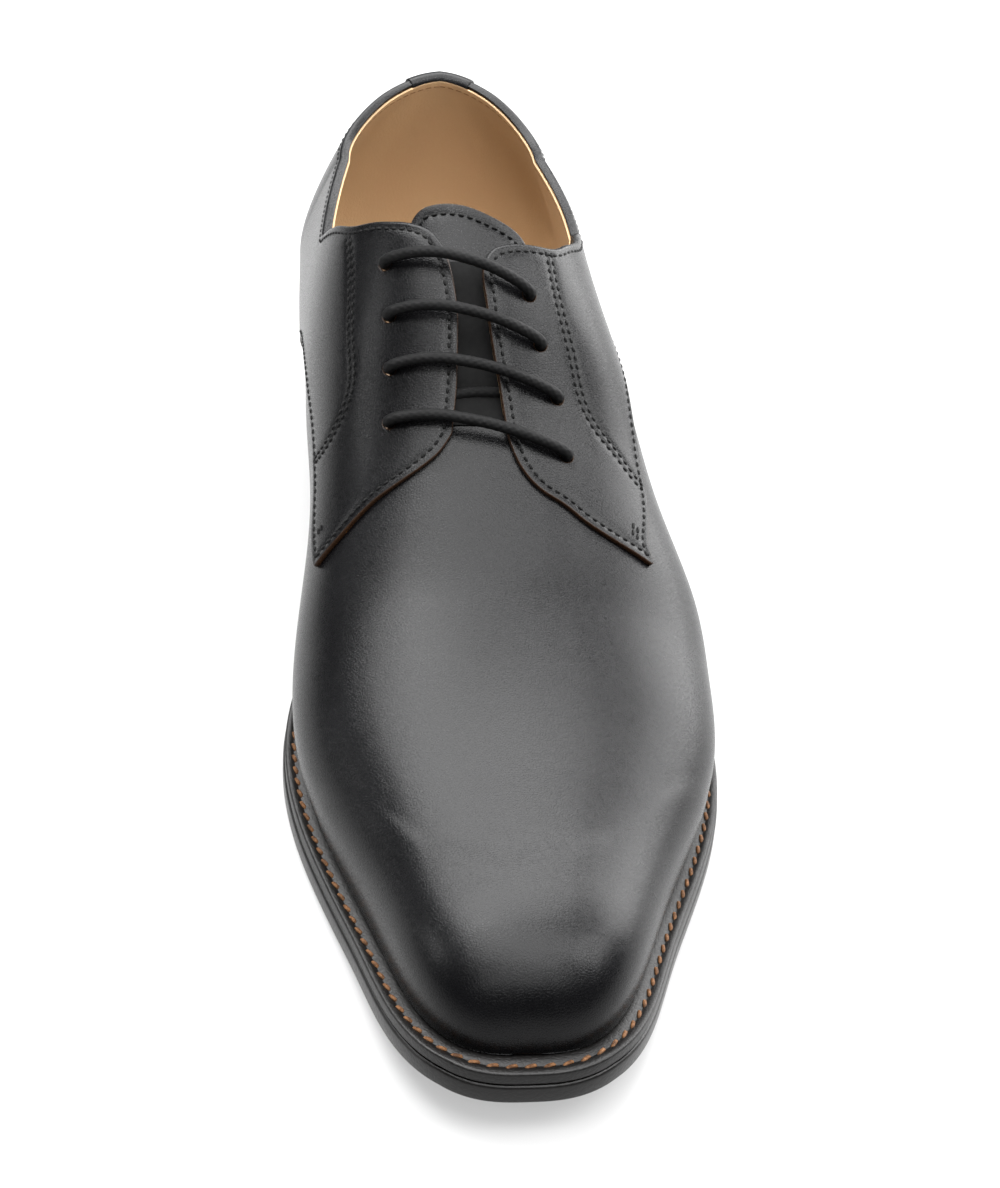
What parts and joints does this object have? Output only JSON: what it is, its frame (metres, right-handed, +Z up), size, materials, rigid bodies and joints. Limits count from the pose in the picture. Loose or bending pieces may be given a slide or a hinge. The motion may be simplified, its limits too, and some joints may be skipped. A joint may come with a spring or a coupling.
{
  "type": "lace-up derby shoe",
  "caption": "Black calf lace-up derby dress shoe, left foot, plain toe, open facings, low stacked heel, welted sole.",
  "frame": {"origin": "On the floor, under the middle of the shoe's length and width.", "axes": "+Z up, toe towards -Y, the outer (lateral) side towards +X."},
  "size_m": [0.1082, 0.31, 0.1116],
  "materials": {
    "upper": "smooth black calf, semi-gloss",
    "outsole": "black dressed edge",
    "welt": "black, brown stitches",
    "heel_stack": "black dressed stack",
    "top_lift": "matte",
    "insole": "tan, smooth",
    "lace": "round waxed cord"
  },
  "bodies": {
    "root": {"outsole": "outsole", "welt": "welt", "insole": "insole", "top_lift": "top_lift", "heel_stack": "heel_stack", "upper": "upper", "tongue": "upper", "heel_tab": "upper", "lace_bar_1": "lace", "lace_bar_2": "lace", "lace_bar_3": "lace", "lace_bar_4": "lace"}
  },
  "joints": []
}
